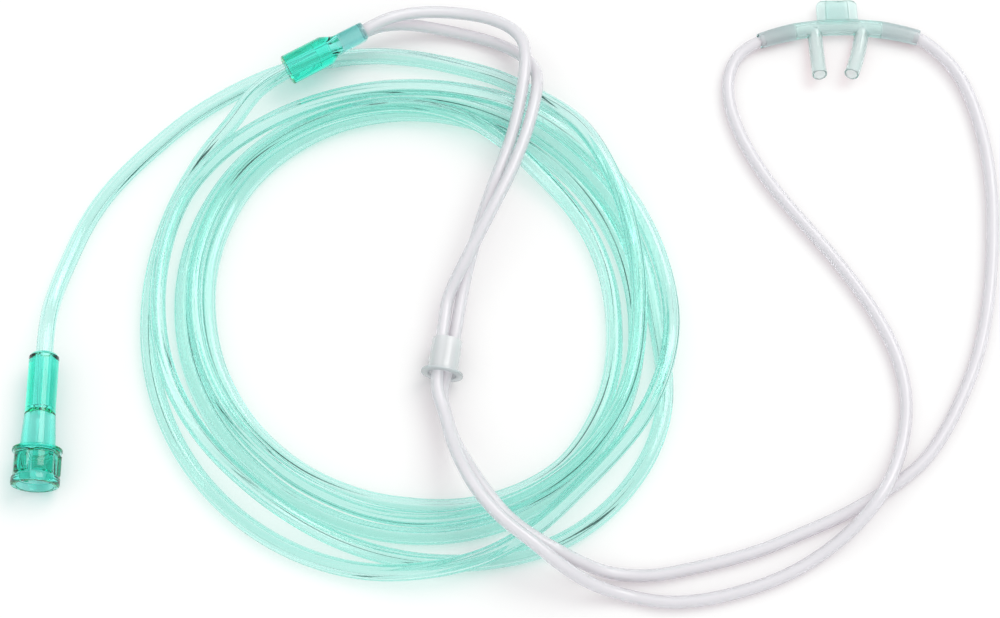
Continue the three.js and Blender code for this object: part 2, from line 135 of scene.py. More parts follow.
def unplaced(points, place):
    # The way back: minus the place's origin, then times the axes transposed.
    return (np.asarray(points, float) - place["at"]) @ place["axes"].T


# What the tubes run into

# A tube is read off its route every routeStep and softened over a number of those steps each way. The supply
# tube's own turning has its lengths in metres and its sway in radians.
routeStep = 1 * mm
coilEvery = 6  # every sixth degree of the coil goes into the route
supply = {
    "outer": 5.0 * mm, "lumen": 3.3 * mm, "ribs": 5, "ribHeight": 0.25 * mm, "sides": 30, "step": 2.0 * mm,
    "weldedLumen": 0.0, "smoothing": 7, "turnLength": 1.9, "sway": 1.1, "swayLength": 0.43,
}
lariat = {
    "outer": 3.7 * mm, "lumen": 2.3 * mm, "sides": 24, "step": 2.0 * mm, "weldedLumen": 0.93, "smoothing": 4,
}

connector = {
    "mouth": (-0.1341, -0.0575), "length": 40.4 * mm, "height": 7.3 * mm, "socket": 16.5 * mm,
}
yPiece = {
    "back": (-0.0653, 0.0746), "height": 10.2 * mm, "heading": 30, "roll": 18, "length": 26.6 * mm,
    "socket": 10 * mm, "lariatSocket": 8.6 * mm, "lumenOffset": 2.1 * mm,
}
slider = {"flange": (-0.0171, -0.0232), "height": 6.3 * mm, "lean": 8.5, "pairRadius": 2.05 * mm}
nose = {
    "centre": (0.1058, 0.0934), "height": 2.7 * mm, "turn": 1.3, "arcRadius": 73 * mm, "span": 49.8 * mm,
    "socket": 11.5 * mm, "seamGap": 0.3 * mm,
}

connectorPlace = spot(
    (connector["mouth"][0], connector["mouth"][1] + connector["length"]), connector["height"], 180)
yPlace = spot(yPiece["back"], yPiece["height"], yPiece["heading"] - 90, yPiece["roll"])
sliderPlace = spot(slider["flange"], slider["height"], -slider["lean"])
nosePlace = spot(nose["centre"], nose["height"], nose["turn"])


def arcPoint(x):
    # The nosepiece's middle line, an arc of radius R through the place's own origin: y = sqrt(R2 - x2) - R.
    x = np.asarray(x, float)
    radius = nose["arcRadius"]
    return np.stack([x, np.sqrt(radius ** 2 - x ** 2) - radius, 0 * x], axis=-1)


def pairPoint(side, along, angle):
    # The two lariat tubes turn about each other in the slider. angle is that of the left tube, in degrees.
    across = -side * slider["pairRadius"] * math.cos(math.radians(angle))
    up = side * slider["pairRadius"] * math.sin(math.radians(angle))
    return placed([across, along * mm, up], sliderPlace)


def noseSocketPoints(side):
    # From the mouth of the nosepiece's socket to just short of its seam.
    seam = nose["span"] / 2 - nose["socket"] + nose["seamGap"]
    shares = np.array([1, 0.66, 0.33, 0])
    return placed(arcPoint(side * (seam + shares * (nose["socket"] - nose["seamGap"]))), nosePlace)


# Routes, chosen over the table, in metres in the layout. A route with On in its name goes on beyond
# the slider.

inletRoute = np.array([
    (-0.1341, -0.0106, 0.0070), (-0.1340, -0.0044, 0.0056), (-0.1333, 0.0018, 0.0040),
    (-0.1319, 0.0080, 0.0029), (-0.1298, 0.0142, 0.0026), (-0.1258, 0.0250, 0.0026),
    (-0.1204, 0.0350, 0.0026), (-0.1130, 0.0445, 0.0026), (-0.1050, 0.0528, 0.0026),
    (-0.0975, 0.0600, 0.0026), (-0.0900, 0.0658, 0.0026), (-0.0775, 0.0734, 0.0026),
    (-0.0653, 0.0788, 0.0026), (-0.0520, 0.0822, 0.0026), (-0.0380, 0.0834, 0.0026),
    (-0.0250, 0.0822, 0.0026), (-0.0125, 0.0794, 0.0026), (-0.0005, 0.0758, 0.0026),
    (0.0115, 0.0694, 0.0026),
])

outletRoute = np.array([
    (-0.0915, 0.0472, 0.0028), (-0.0875, 0.0525, 0.0043), (-0.0814, 0.0590, 0.0070),
    (-0.0756, 0.0668, 0.0096), (-0.0698, 0.0718, 0.0102),
])

leftRoute = np.array([
    (-0.0378, 0.0909, 0.0077), (-0.0290, 0.0929, 0.0054), (-0.0205, 0.0926, 0.0034),
    (-0.0125, 0.0914, 0.0022), (-0.0045, 0.0892, 0.0022), (0.0030, 0.0856, 0.0032),
    (0.0084, 0.0806, 0.0056), (0.0110, 0.0746, 0.0094), (0.0114, 0.0686, 0.0126),
    (0.0098, 0.0585, 0.0142), (0.0070, 0.0485, 0.0146), (0.0030, 0.0380, 0.0146),
    (-0.0015, 0.0285, 0.0142), (-0.0060, 0.0195, 0.0130), (-0.0106, 0.0105, 0.0108),
])
leftRouteOn = np.array([
    (-0.0162, -0.0354, 0.0088), (-0.0140, -0.0445, 0.0120), (-0.0106, -0.0540, 0.0161),
    (-0.0056, -0.0628, 0.0173), (0.0012, -0.0704, 0.0173), (0.0090, -0.0764, 0.0166),
    (0.0170, -0.0822, 0.0134), (0.0256, -0.0860, 0.0070), (0.0350, -0.0882, 0.0024),
    (0.0470, -0.0904, 0.0022), (0.0580, -0.0898, 0.0022), (0.0700, -0.0870, 0.0022),
    (0.0810, -0.0830, 0.0022), (0.0905, -0.0778, 0.0024), (0.0995, -0.0712, 0.0040),
    (0.1065, -0.0644, 0.0062), (0.1118, -0.0570, 0.0062), (0.1156, -0.0490, 0.0042),
    (0.1182, -0.0410, 0.0024), (0.1196, -0.0315, 0.0022), (0.1192, -0.0230, 0.0022),
    (0.1168, -0.0130, 0.0022), (0.1124, -0.0030, 0.0022), (0.1066, 0.0070, 0.0022),
    (0.1000, 0.0166, 0.0022), (0.0924, 0.0266, 0.0022), (0.0846, 0.0370, 0.0022),
    (0.0784, 0.0470, 0.0022), (0.0738, 0.0570, 0.0022), (0.0710, 0.0670, 0.0022),
    (0.0710, 0.0760, 0.0022), (0.0742, 0.0836, 0.0024),
])

rightRoute = np.array([
    (-0.0350, 0.0916, 0.0116), (-0.0275, 0.0944, 0.0100), (-0.0195, 0.0956, 0.0086),
    (-0.0115, 0.0956, 0.0074), (-0.0035, 0.0940, 0.0074), (0.0030, 0.0902, 0.0088),
    (0.0070, 0.0844, 0.0112), (0.0078, 0.0775, 0.0130), (0.0070, 0.0685, 0.0130),
    (0.0052, 0.0580, 0.0128), (0.0024, 0.0475, 0.0126), (-0.0014, 0.0370, 0.0124),
    (-0.0046, 0.0280, 0.0102), (-0.0074, 0.0190, 0.0080), (-0.0098, 0.0100, 0.0064),
])
rightRouteOn = np.array([
    (-0.0156, -0.0354, 0.0044), (-0.0132, -0.0435, 0.0068), (-0.0098, -0.0510, 0.0114),
    (-0.0044, -0.0600, 0.0132), (0.0022, -0.0682, 0.0132), (0.0096, -0.0740, 0.0132),
    (0.0164, -0.0778, 0.0120), (0.0232, -0.0802, 0.0076), (0.0302, -0.0818, 0.0032),
    (0.0365, -0.0826, 0.0022), (0.0450, -0.0825, 0.0022), (0.0540, -0.0808, 0.0022),
    (0.0650, -0.0782, 0.0022), (0.0760, -0.0748, 0.0022), (0.0870, -0.0702, 0.0022),
    (0.0970, -0.0658, 0.0022), (0.1060, -0.0610, 0.0022), (0.1150, -0.0554, 0.0022),
    (0.1236, -0.0484, 0.0022), (0.1304, -0.0394, 0.0022), (0.1364, -0.0282, 0.0022),
    (0.1414, -0.0166, 0.0022), (0.1450, -0.0040, 0.0022), (0.1476, 0.0100, 0.0022),
    (0.1492, 0.0250, 0.0022), (0.1498, 0.0400, 0.0022), (0.1486, 0.0550, 0.0022),
    (0.1456, 0.0690, 0.0022), (0.1406, 0.0800, 0.0024),
])

# Through the slider: millimetres along it, and the left tube's angle about the right one there
pairSteps = [(24, 20), (17, 25), (11, 33), (5, 44), (0, 56), (-5, 72)]

# The coil's five turns. Each key is an angle in degrees that runs down through the turn, the turn's radius
# there and the tube's height above the table, in millimetres.
turns = [
    [
        (58, 83, 4.4), (53, 82.1, 6.4), (48, 80.2, 8.1), (42, 77.6, 8.4), (36, 75.6, 8.1), (30, 73.7, 7.7),
        (18, 70.2, 7.6), (0, 67.4, 7.6),
        (-20, 67.6, 7.6), (-45, 66.2, 7.0), (-68, 63.4, 6.3), (-90, 61.3, 6.1), (-112, 59.4, 7.2),
        (-135, 59.2, 7.3), (-158, 61, 7.2), (-180, 63.8, 6.8), (-202, 67.4, 7.2), (-225, 70.6, 7.2),
        (-248, 70.3, 7.5),
    ],
    [
        (90, 69.7, 7.6), (75, 67.4, 7.5), (62, 63.6, 6.6), (52, 61.6, 4.4), (42, 61.2, 2.8), (20, 60.6, 2.5),
        (0, 60.4, 2.5), (-20, 62, 2.5), (-45, 63.4, 2.5), (-68, 60, 2.5), (-90, 56.4, 2.5), (-112, 55.4, 2.5),
        (-135, 56, 2.5), (-158, 57.8, 2.5), (-180, 60.4, 2.5), (-202, 64.2, 2.5), (-225, 68, 2.5),
        (-248, 69.4, 2.5),
    ],
    [
        (90, 69.4, 2.5), (68, 68.6, 2.5), (45, 67.4, 2.5), (20, 67, 2.5), (0, 67.2, 2.5), (-20, 68, 2.5),
        (-45, 68.8, 2.5), (-68, 67.4, 2.5), (-90, 65.6, 2.5), (-112, 64, 2.5), (-135, 63.8, 2.5),
        (-158, 65.6, 2.5), (-180, 68, 2.5), (-202, 71, 2.5), (-225, 73.8, 2.5), (-248, 74.8, 2.5),
    ],
    [
        (90, 74.8, 2.5), (68, 73.8, 2.5), (45, 72.4, 2.5), (20, 72.1, 2.5), (2, 72.6, 2.5), (-6, 74.4, 2.5),
        (-14, 77.6, 2.5), (-22, 80.2, 2.5), (-32, 81.6, 2.5), (-45, 81.8, 2.5), (-58, 80.4, 2.5),
        (-72, 76.6, 2.5), (-90, 72.6, 2.5), (-104, 70.4, 4.0), (-116, 69.2, 6.2), (-124, 68.8, 7.2),
        (-135, 68.8, 7.2), (-150, 70.6, 7.0), (-165, 73, 6.8), (-180, 75, 6.8), (-198, 77.6, 7.5),
        (-210, 79.6, 7.5), (-222, 79.4, 7.3), (-234, 78, 7.2), (-252, 76.2, 7.5),
    ],
    [
        (90, 75.6, 7.6), (75, 76, 7.5), (66, 77.2, 6.9), (60, 78.1, 4.3), (54, 78.2, 2.7), (44, 77.7, 2.5),
        (20, 77.4, 2.5), (8, 77.6, 2.9), (2, 77.6, 4.8), (-4, 77.4, 7.2), (-12, 76.6, 7.9), (-24, 75, 7.7),
        (-36, 72.6, 7.6), (-48, 71.8, 7.4), (-60, 74.2, 7.6), (-74, 76.6, 7.8),
        (-81, 76.8, 7.6), (-88, 77, 6.2), (-98, 77.2, 3.2),
        (-112, 77.4, 2.5), (-135, 77.6, 2.5), (-158, 77.8, 2.5), (-180, 78.2, 2.5), (-195, 79.4, 2.5),
        (-207, 81.2, 2.6), (-216, 83, 2.7),
    ],
]


def coilLine(turns, smoothing=7):
    # Radius and height are read off the keys at every degree by linear interpolation and softened over
    # a few degrees. Each point is centre + radius (cos, sin) of its angle. Every turn goes on from the one
    # before.
    keys = np.array([(a - 360 * k, r, z) for k, turn in enumerate(turns) for a, r, z in turn], float)
    angle = np.arange(keys[0, 0], keys[-1, 0] - 1, -1.0)
    read = np.stack([np.interp(-angle, -keys[:, 0], keys[:, c]) for c in (1, 2)], axis=1) * mm
    radius, height = softened(read, smoothing).T
    turn = np.radians(angle)
    centre = coilCentre + layoutShift[:2]
    return np.stack([centre[0] + radius * np.cos(turn), centre[1] + radius * np.sin(turn), height], axis=1)


def supplyLine():
    # From the depth of the Y connector's socket, back through the coil, to the depth of the end connector's.
    start = placed([[0, connector["socket"], 0], [0, connector["socket"] / 2, 0], [0, 0, 0]], connectorPlace)
    end = placed([[0, 0, 0], [0, yPiece["socket"] / 2, 0], [0, yPiece["socket"], 0]], yPlace)
    coil = coilLine(turns)
    parts = [start, inletRoute + layoutShift, coil[::coilEvery], outletRoute + layoutShift, end]
    way = curveThrough(np.vstack(parts), routeStep)
    way[:, 2] = np.maximum(way[:, 2], supply["outer"] / 2)
    return evened(softened(way, supply["smoothing"]), supply["step"])[::-1]


def lariatLine(side, route, routeOn):
    # Out of its lumen of the Y connector, over the coil, through the slider and on into its nosepiece socket.
    offset = -side * yPiece["lumenOffset"]
    depths = [yPiece["length"] - yPiece["lariatSocket"] * share for share in (1, 0.5, 0)]
    start = placed([[0, depth, offset] for depth in depths], yPlace)
    inSlider = np.array([pairPoint(side, along, angle) for along, angle in pairSteps])
    end = noseSocketPoints(-side)
    way = np.vstack([start, route + layoutShift, inSlider, routeOn + layoutShift, end])
    way = curveThrough(way, routeStep)
    way[:, 2] = np.maximum(way[:, 2], lariat["outer"] / 2)
    return evened(softened(way, lariat["smoothing"]), lariat["step"])


supplyPath = supplyLine()
leftPath = lariatLine(1, leftRoute, leftRouteOn)
rightPath = lariatLine(-1, rightRoute, rightRouteOn)


def lengthOf(points):
    # The sum of the distances between neighbouring points.
    return float(np.linalg.norm(np.diff(points, axis=0), axis=1).sum())


lengths = tuple(lengthOf(path) for path in (supplyPath, leftPath, rightPath))
print("routes: supply %.3f m, left %.3f m, right %.3f m" % lengths)


# Meshes

def gridQuads(rows, columns, closedRows, closedColumns):
    # Quad (i, j) joins points (i, j), (i, j+1), (i+1, j+1) and (i+1, j), and wraps round where the grid
    # closes.
    i = np.arange(rows if closedRows else rows - 1)[:, None]
    j = np.arange(columns if closedColumns else columns - 1)[None, :]
    corners = [(i, j), (i, j + 1), (i + 1, j + 1), (i + 1, j)]
    quads = np.stack([(a % rows) * columns + b % columns for a, b in corners], axis=-1).reshape(-1, 4)
    wrap = [np.stack(np.broadcast_arrays(a / rows, b / columns), axis=-1) for a, b in corners]
    return quads, np.stack(wrap, axis=-2).reshape(-1, 2)


def surface(name, rings, closedRows=False, caps=False, sharpAngle=40):
    # A grid of rings of points, each ring closed, put into a mesh with smooth faces that point outwards.
    rows, columns = rings.shape[:2]
    quads, uv = gridQuads(rows, columns, closedRows, True)
    faces = quads.tolist()
    if caps:
        faces.append(list(range(columns))[::-1])
        faces.append(list(range((rows - 1) * columns, rows * columns)))
        uv = np.vstack([uv, np.zeros((2 * columns, 2))])
    mesh = bpy.data.meshes.new(name)
    mesh.from_pydata(rings.reshape(-1, 3).tolist(), [], faces)
    mesh.uv_layers.new(name="wrap").data.foreach_set("uv", uv.ravel())
    mesh.shade_smooth()
    mesh.set_sharp_from_angle(angle=math.radians(sharpAngle))
    obj = bpy.data.objects.new(name, mesh)
    bpy.context.collection.objects.link(obj)
    return obj


def sweep(path, radius, sides, twist=0.0):
    # Rings round a line: point + radius(angle) (side cos - up sin), with side = tangent x z and
    # up = side x tangent. radius is one value, one per ring, or a grid of one per ring and angle.
    tangent = np.gradient(path, axis=0)
    tangent /= np.linalg.norm(tangent, axis=1, keepdims=True)
    side = np.cross(tangent, [0, 0, 1.0])
    side /= np.linalg.norm(side, axis=1, keepdims=True)
    up = np.cross(side, tangent)
    angle = np.linspace(0, 2 * np.pi, sides, endpoint=False)[None, :] + np.reshape(twist, (-1, 1))
    if np.ndim(radius) == 1:
        radius = np.reshape(radius, (-1, 1))
    radius = np.broadcast_to(radius, (len(path), sides))
    return path[:, None] + radius[..., None] * (
        side[:, None] * np.cos(angle)[..., None] - up[:, None] * np.sin(angle)[..., None])


def mark(obj, name, domain, values):
    # One number for every point or face, under a name that a material reads.
    made = obj.data.attributes.new(name, "FLOAT", domain)
    made.data.foreach_set("value", np.asarray(values, float))


def markBonded(obj, marks):
    # A tube welded into its socket has no air round it, so light passes both walls unbent where a face's
    # mark is 1.
    mark(obj, "bonded", "FACE", marks)


def faceMiddles(obj):
    # The centre of every face, as rows of x, y and z.
    centres = np.empty(len(obj.data.polygons) * 3)
    obj.data.polygons.foreach_get("center", centres)
    return centres.reshape(-1, 3)


def hollowTube(name, path, tube, lumenRadius, joints, twist=0.0):
    # Outer rings from end to end, then the lumen's rings back again, closed into one wall with flat ends.
    # joints gives the lengths at its start and end that are welded into a socket.
    outer = sweep(path, tube["outer"] / 2, tube["sides"], twist)
    inner = sweep(path, lumenRadius, tube["sides"], twist)
    obj = surface(name, np.concatenate([outer, inner[::-1]]), closedRows=True)
    inside = np.repeat([0.0, 1.0], len(path) * tube["sides"])
    mark(obj, "lumen", "POINT", inside)
    along = np.arange(len(path)) * tube["step"]
    metres = np.repeat(np.concatenate([along, along[::-1]]), tube["sides"])
    mark(obj, "along", "POINT", metres)
    row = np.repeat(np.arange(2 * len(path)), tube["sides"])
    middle = (row + 0.5) * tube["step"]
    outside = row < len(path) - 1
    middle = np.where(outside, middle, 2 * along[-1] - middle)
    welded = (middle < joints[0]) | (middle > along[-1] - joints[1])
    markBonded(obj, welded * np.where(outside, 1.0, tube["weldedLumen"]))
    return obj


def turnedRings(profile, sides, place, offset=0.0):
    # A profile of (radius, y) carried round an axis that lies offset above the place's own y axis:
    # (r cos a, y, offset - r sin a).
    radius, along = np.asarray(profile, float).T
    angle = np.linspace(0, 2 * np.pi, sides, endpoint=False)
    rings = np.stack(np.broadcast_arrays(
        radius[:, None] * np.cos(angle), along[:, None], offset - radius[:, None] * np.sin(angle)), axis=-1)
    return placed(rings.reshape(-1, 3), place).reshape(rings.shape)


def rounded(corners, steps=5, most=0.49):
    # Each corner (radius, y, fillet) of a closed outline becomes a quadratic curve
    # (1-t)2 a + 2 t (1-t) corner + t2 b between the points a and b at the fillet's length from it, or at the
    # most that a side leaves for it.
    c = np.asarray(corners, float)
    point, fillet = c[:, :2], c[:, 2:]
    before, after = np.roll(point, 1, axis=0) - point, np.roll(point, -1, axis=0) - point

    def shortened(side):
        # The part of a side that the fillet takes.
        length = np.maximum(np.linalg.norm(side, axis=1, keepdims=True), 1e-9)
        return side * np.minimum(fillet / length, most)

    a, b = point + shortened(before), point + shortened(after)
    t = np.linspace(0, 1, steps)[None, :, None]
    curve = (1 - t) ** 2 * a[:, None] + 2 * t * (1 - t) * point[:, None] + t ** 2 * b[:, None]
    return curve.reshape(-1, 2)


def combined(base, others, operation):
    # base joined with, or cut by, the other closed solids, by exact booleans. The others are used up.
    for other in others:
        step = base.modifiers.new("combine", "BOOLEAN")
        step.operation = operation
        step.solver = "EXACT"
        step.object = other
    bakeModifiers(base)
    for other in others:
        bpy.data.objects.remove(other)
    return base


def bakeModifiers(obj):
    # The mesh as its modifiers leave it becomes the object's own.
    bpy.context.view_layer.update()
    made = bpy.data.meshes.new_from_object(obj.evaluated_get(bpy.context.evaluated_depsgraph_get()))
    obj.modifiers.clear()
    obj.data = made
    return obj


# Materials

def linear(hexText):
    # sRGB to linear light: c / 12.92 below 0.04045, otherwise ((c + 0.055) / 1.055) ** 2.4.
    values = [int(hexText[k:k + 2], 16) / 255 for k in (1, 3, 5)]
    return [v / 12.92 if v <= 0.04045 else ((v + 0.055) / 1.055) ** 2.4 for v in values] + [1.0]


def addNode(tree, kind, inputs=None, **settings):
    # One node with its settings. An input is a value, or an output socket to link from.
    made = tree.nodes.new(kind)
    for key, value in settings.items():
        setattr(made, key, value)
    for key, value in (inputs or {}).items():
        if isinstance(value, bpy.types.NodeSocket):
            tree.links.new(value, made.inputs[key])
        else:
            made.inputs[key].default_value = value
    return made


def paintedLineMask(tree, look):
    # Where the dark line is painted, a painted reflection of the ribs: 1 on the crest of the first rib, where
    # the lumen attribute is 1 and v lies within the look's share of the seam, faded in and out along the tube
    # by a noise of the length.
    around = addNode(tree, "ShaderNodeUVMap", uv_map="wrap").outputs["UV"]
    v = addNode(tree, "ShaderNodeSeparateXYZ", {"Vector": around}).outputs["Y"]
    off = addNode(tree, "ShaderNodeMath", {0: v, 1: 0.5}, operation="SUBTRACT").outputs[0]
    off = addNode(tree, "ShaderNodeMath", {0: off}, operation="ABSOLUTE").outputs[0]
    edge = 0.5 - look["paintedLineShare"]
    line = addNode(tree, "ShaderNodeMath", {0: off, 1: edge}, operation="GREATER_THAN").outputs[0]
    along = addNode(tree, "ShaderNodeAttribute", attribute_name="along").outputs["Fac"]
    noise = addNode(tree, "ShaderNodeTexNoise", {
        "W": along, "Scale": 1 / look["paintedLineLength"], "Detail": 1.0}, noise_dimensions="1D").outputs["Fac"]
    low, high = look["paintedLineFade"]
    fade = addNode(tree, "ShaderNodeMapRange", {
        "Value": noise, "From Min": low, "From Max": high}).outputs["Result"]
    lumen = addNode(tree, "ShaderNodeAttribute", attribute_name="lumen").outputs["Fac"]
    mask = addNode(tree, "ShaderNodeMath", {0: line, 1: fade}, operation="MULTIPLY").outputs[0]
    return addNode(tree, "ShaderNodeMath", {0: mask, 1: lumen}, operation="MULTIPLY").outputs[0]


noiseSpan = (0.3, 0.7)  # where nearly all values of a noise lie
darkestTint = 1e-3  # no channel of a tint counts as darker


def clearVinyl(name, look):
    # Clear PVC bends light, and takes on colour with the plastic that light passes: after the look's depth
    # white light has become the tint, so the absorption is -ln(tint) / depth. Light on its way from a lamp,
    # and light that a matt surface gathers, goes straight through, dimmed a little at each surface, in place
    # of bright caustics.
    material = bpy.data.materials.new(name)
    material.use_nodes = True
    tree = material.node_tree
    tree.nodes.clear()
    coordinates = addNode(tree, "ShaderNodeTexCoord").outputs["Object"]
    waves, grain = (
        addNode(tree, "ShaderNodeTexNoise", {"Vector": coordinates, "Scale": 1 / size, "Detail": detail})
        for size, detail in ((look["waveSize"], 2.0), (look["grainSize"], 3.0)))
    bump = addNode(tree, "ShaderNodeBump", {
        "Height": waves.outputs["Fac"], "Strength": look["waveStrength"], "Distance": look["waveHeight"]})
    low, high = noiseSpan
    roughness = addNode(tree, "ShaderNodeMapRange", {
        "Value": grain.outputs["Fac"], "From Min": low, "From Max": high,
        "To Min": look["roughness"][0], "To Max": look["roughness"][1]})
    colour = linear(look["surface"])
    # A deeper colour painted on marked faces: painted shade on the end connector's raised pads.
    if "padShade" in look:
        shadedPads = addNode(tree, "ShaderNodeAttribute", attribute_name="shadedPads").outputs["Fac"]
        colour = addNode(tree, "ShaderNodeMix", {
            0: shadedPads, 6: colour, 7: linear(look["padShade"])}, data_type="RGBA").outputs[2]
    plastic = addNode(tree, "ShaderNodeBsdfPrincipled", {
        "Base Color": colour, "Roughness": roughness.outputs["Result"], "IOR": look["ior"],
        "Transmission Weight": look["clarity"], "Normal": bump.outputs["Normal"]})
    shown = plastic.outputs["BSDF"]
    # A dark colour painted on the crest of one rib: a painted reflection, the thin dark line that the ribs
    # show.
    if "paintedLine" in look:
        paintedLine = addNode(tree, "ShaderNodeBsdfPrincipled", {
            "Base Color": linear(look["paintedLine"]), "Roughness": look["paintedLineRoughness"],
            "Transmission Weight": look["paintedLineClarity"], "IOR": look["ior"]})
        shown = addNode(tree, "ShaderNodeMixShader", {
            0: paintedLineMask(tree, look), 1: shown, 2: paintedLine.outputs["BSDF"]}).outputs["Shader"]
    bonded = addNode(tree, "ShaderNodeAttribute", attribute_name="bonded").outputs["Fac"]
    through = addNode(tree, "ShaderNodeBsdfTransparent").outputs["BSDF"]
    shown = addNode(tree, "ShaderNodeMixShader", {0: bonded, 1: shown, 2: through}).outputs["Shader"]
    lampWay = addNode(tree, "ShaderNodeBsdfTransparent", {"Color": linear(look["lampWay"])}).outputs["BSDF"]
    path = addNode(tree, "ShaderNodeLightPath")
    for ray in ("Is Diffuse Ray", "Is Shadow Ray"):
        mixed = addNode(tree, "ShaderNodeMixShader", {0: path.outputs[ray], 1: shown, 2: lampWay})
        shown = mixed.outputs["Shader"]
    absorption = -np.log(np.maximum(np.array(linear(look["tint"])[:3]), darkestTint)) / look["depth"]
    density = float(absorption.max())
    volume = addNode(tree, "ShaderNodeVolumeAbsorption", {
        "Color": [float(1 - a / density) for a in absorption] + [1.0], "Density": density})
    addNode(tree, "ShaderNodeOutputMaterial", {"Surface": shown, "Volume": volume.outputs["Volume"]})
    return material


# Extruded flexible PVC, dyed a pale mint: glossy, clear, deeper in colour where a wall is seen edge on. A
# dark line painted on one rib of its lumen is a painted reflection of the thin dark lines that the ribs show.
supplyLook = {
    "surface": "#ffffff", "tint": "#d0fbf5", "depth": 2.7 * mm, "ior": 1.5, "clarity": 1.0,
    "roughness": (0.02, 0.05), "lampWay": "#fffbfb", "waveSize": 18 * mm, "waveHeight": 0.02 * mm,
    "waveStrength": 0.1, "grainSize": 6 * mm, "paintedLine": "#12403d", "paintedLineShare": 0.014,
    "paintedLineLength": 70 * mm, "paintedLineFade": (0.44, 0.52), "paintedLineRoughness": 0.3, "paintedLineClarity": 0.25,
}
# Softer PVC of the head tubes: milky, nearly colourless, with a silky surface
lariatLook = {
    "surface": "#fdfdff", "tint": "#f3f3f6", "depth": 1.4 * mm, "ior": 1.48, "clarity": 0.55,
    "roughness": (0.22, 0.26), "lampWay": "#eeeaeb", "waveSize": 14 * mm, "waveHeight": 0.02 * mm,
    "waveStrength": 0.1, "grainSize": 6 * mm,
}
# Injection moulded PVC of the fittings: clear aqua, thick, glossy, with slight flow waves. The raised pads
# on the end connector's cup are painted a deeper teal, a painted shade for their thicker plastic.
fittingLook = {
    "surface": "#ffffff", "tint": "#7ff9ea", "depth": 3.8 * mm, "ior": 1.5, "clarity": 1.0,
    "roughness": (0.03, 0.08), "padShade": "#3fc9b8", "lampWay": "#ffeaed", "waveSize": 3.5 * mm,
    "waveHeight": 0.05 * mm, "waveStrength": 0.3, "grainSize": 2 * mm,
}
# Dip moulded soft PVC of the nosepiece: frosted, pale aqua
noseLook = {
    "surface": "#f8fffe", "tint": "#cbf4ef", "depth": 3.4 * mm, "ior": 1.48, "clarity": 0.8,
    "roughness": (0.12, 0.16), "lampWay": "#f8ecee", "waveSize": 4 * mm, "waveHeight": 0.02 * mm,
    "waveStrength": 0.1, "grainSize": 4 * mm,
}
# Moulded polyethylene of the slider: cloudy white
sliderLook = {
    "surface": "#fafcfc", "tint": "#eef3f4", "depth": 1.2 * mm, "ior": 1.5, "clarity": 0.6,
    "roughness": (0.16, 0.22), "lampWay": "#ebe9ea", "waveSize": 4 * mm, "waveHeight": 0.02 * mm,
    "waveStrength": 0.15, "grainSize": 3 * mm,
}

supplyVinyl = clearVinyl("extruded mint PVC", supplyLook)
lariatVinyl = clearVinyl("milky soft PVC", lariatLook)
fittingVinyl = clearVinyl("moulded aqua PVC", fittingLook)
noseVinyl = clearVinyl("frosted dip moulded PVC", noseLook)
sliderPlastic = clearVinyl("cloudy polyethylene", sliderLook)
print("materials made")


# Supply tube

def starLumen(path, tube):
    # A round bore of radius r with ribs that stand inwards: r - h ((1 + cos(n a)) / 2) ** 3.
    angle = np.linspace(0, 2 * np.pi, tube["sides"], endpoint=False)
    star = tube["lumen"] / 2 - tube["ribHeight"] * ((1 + np.cos(tube["ribs"] * angle)) / 2) ** 3
    return np.broadcast_to(star, (len(path), tube["sides"]))


def slowTwist(path, tube):
    # The tube's own turning along its length s: 2 pi s / turnLength + sway sin(2 pi s / swayLength).
    s = np.arange(len(path)) * tube["step"]
    return 2 * np.pi * s / tube["turnLength"] + tube["sway"] * np.sin(2 * np.pi * s / tube["swayLength"])


supplyJoints = (yPiece["socket"], connector["socket"])
supplyTube = hollowTube(
    "supply_tube", supplyPath, supply, starLumen(supplyPath, supply), supplyJoints,
    slowTwist(supplyPath, supply))
supplyTube.data.materials.append(supplyVinyl)
lariatJoints = (yPiece["lariatSocket"], nose["socket"])
leftTube = hollowTube("left_lariat", leftPath, lariat, lariat["lumen"] / 2, lariatJoints)
rightTube = hollowTube("right_lariat", rightPath, lariat, lariat["lumen"] / 2, lariatJoints)
for tube in (leftTube, rightTube):
    tube.data.materials.append(lariatVinyl)
print("tubes made:", [len(o.data.polygons) for o in (supplyTube, leftTube, rightTube)])


# End connector

connector.update({
    "tubeEnd": 4.4, "chamfer": 0.9, "shoulder": 5.2, "collar": 7.3, "collarThick": 0.9,
    "cupLength": 10.2, "cup": 6.35, "rim": 7.1, "rimLength": 2.4, "mouth": 5.4, "cupFloor": 4.7,
    "cupDepth": 9.4, "bore": 3.45, "step": 2.1, "stepLength": 0.9, "socketWall": 2.52, "sides": 72,
    "lugs": [(150, 34), (32, 30), (240, 30), (305, 26)], "lugHeight": 0.75, "lugSlope": 0.8,
    "lugSlopeAngle": 7, "lip": 0.4, "seam": 0.05,
})


slack = 0.1  # millimetres by which a face may lie off its socket's wall and still belong to it


